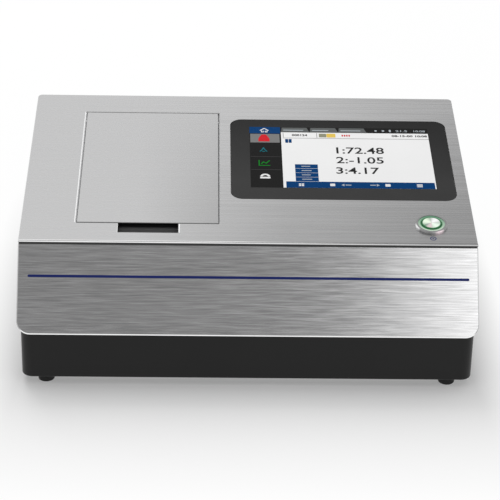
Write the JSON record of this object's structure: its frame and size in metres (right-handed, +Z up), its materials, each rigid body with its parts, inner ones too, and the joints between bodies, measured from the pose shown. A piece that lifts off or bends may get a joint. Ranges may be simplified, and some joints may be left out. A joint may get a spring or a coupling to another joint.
{
  "type": "benchtop colorimeter",
  "caption": "Benchtop colorimeter with a sloping steel deck, a hinged sample lid over a cuvette chamber, a touch screen, a push button and rear sockets.",
  "frame": {"origin": "under the middle of the instrument, on the surface that its feet stand on", "axes": "+X to the right along the front, +Y to the back, +Z up"},
  "size_m": [0.37, 0.2656, 0.1432],
  "materials": {
    "steel_skin": "fine brushed",
    "casing_black": "fine texture",
    "rear_black": "powder coat",
    "chamber_black": "matte",
    "recess_grey": "satin",
    "foot_rubber": "matte",
    "seal_rubber": "matte",
    "fittings_steel": "zinc plated",
    "bright_steel": "polished",
    "anodised_black": "anodised",
    "plain_aluminium": "satin",
    "optical_glass": "polished",
    "screen_glass": "polished",
    "screen_panel": "satin",
    "board_green": "solder mask",
    "insulator_black": "satin",
    "switch_black": "satin",
    "light_ring_green": "translucent",
    "white_shell": "satin"
  },
  "bodies": {
    "instrument": {"base_housing": "casing_black", "rubber_feet": "foot_rubber", "foot_screws": "fittings_steel", "casing_wrap": "casing_black", "corner_brackets": "fittings_steel", "fascia_brackets": "fittings_steel", "front_fascia": "steel_skin", "top_plate": "steel_skin", "finger_recess": "recess_grey", "rear_panel": "rear_black", "rear_panel_screws": "fittings_steel", "catch_discs": "fittings_steel", "hinge_bracket": "fittings_steel", "hinge_pin": "bright_steel", "chamber_tub": "chamber_black", "window_left": "optical_glass", "window_right": "optical_glass", "window_ring_left": "anodised_black", "window_ring_right": "anodised_black", "cell_holder": "anodised_black", "cell_spring": "fittings_steel", "holder_screws": "plain_aluminium", "optical_bench": "plain_aluminium", "bench_pillars": "plain_aluminium", "lamp_housing": "anodised_black", "lamp_board": "board_green", "lamp_heatsink": "plain_aluminium", "lens_barrel": "anodised_black", "collimator_lens": "optical_glass", "sphere_half_left": "white_shell", "sphere_half_right": "white_shell", "sphere_bracket": "plain_aluminium", "spectrometer_case": "anodised_black", "spectrometer_cover": "anodised_black", "sensor_board": "board_green", "main_board": "board_green", "board_standoffs": "fittings_steel", "display_frame": "fittings_steel", "lcd_panel": "screen_panel", "display_gasket": "seal_rubber", "touch_glass": "screen_glass", "button_bezel": "bright_steel", "button_light_ring": "light_ring_green", "button_nut": "bright_steel", "button_contact_block": "insulator_black", "fan_frame": "insulator_black", "fan_screws": "fittings_steel", "switch_frame": "switch_black", "dc_jack": "fittings_steel", "usb_b_socket": "bright_steel", "usb_a_socket": "bright_steel", "serial_socket": "fittings_steel"},
    "lid": {"lid_plate": "steel_skin", "lid_liner": "chamber_black", "lid_seal": "seal_rubber", "lid_magnets": "fittings_steel", "liner_screws": "fittings_steel"},
    "button": {"button_cap": "bright_steel"},
    "rocker": {"power_rocker": "switch_black"},
    "fan": {"fan_rotor": "insulator_black"}
  },
  "joints": [
    {"name": "lid_hinge", "type": "hinge", "parent": "instrument", "child": "lid", "pos_m": [-0.08195, 0.09312, 0.13431], "axis": [-1, 0, 0], "range_deg": [0, 95]},
    {"name": "button_press", "type": "slide", "parent": "instrument", "child": "button", "axis": [0, 0.1478, -0.989], "range_m": [0, 0.0015], "stiffness_N_per_m": 400, "springref_m": -0.003},
    {"name": "rocker_tilt", "type": "hinge", "parent": "instrument", "child": "rocker", "pos_m": [0.118, 0.12682, 0.0931], "axis": [-1, 0, 0], "range_deg": [0, 14]},
    {"name": "fan_spin", "type": "hinge", "parent": "instrument", "child": "fan", "pos_m": [-0.105, 0.12083, 0.0931], "axis": [0, 1, 0], "continuous": true}
  ]
}
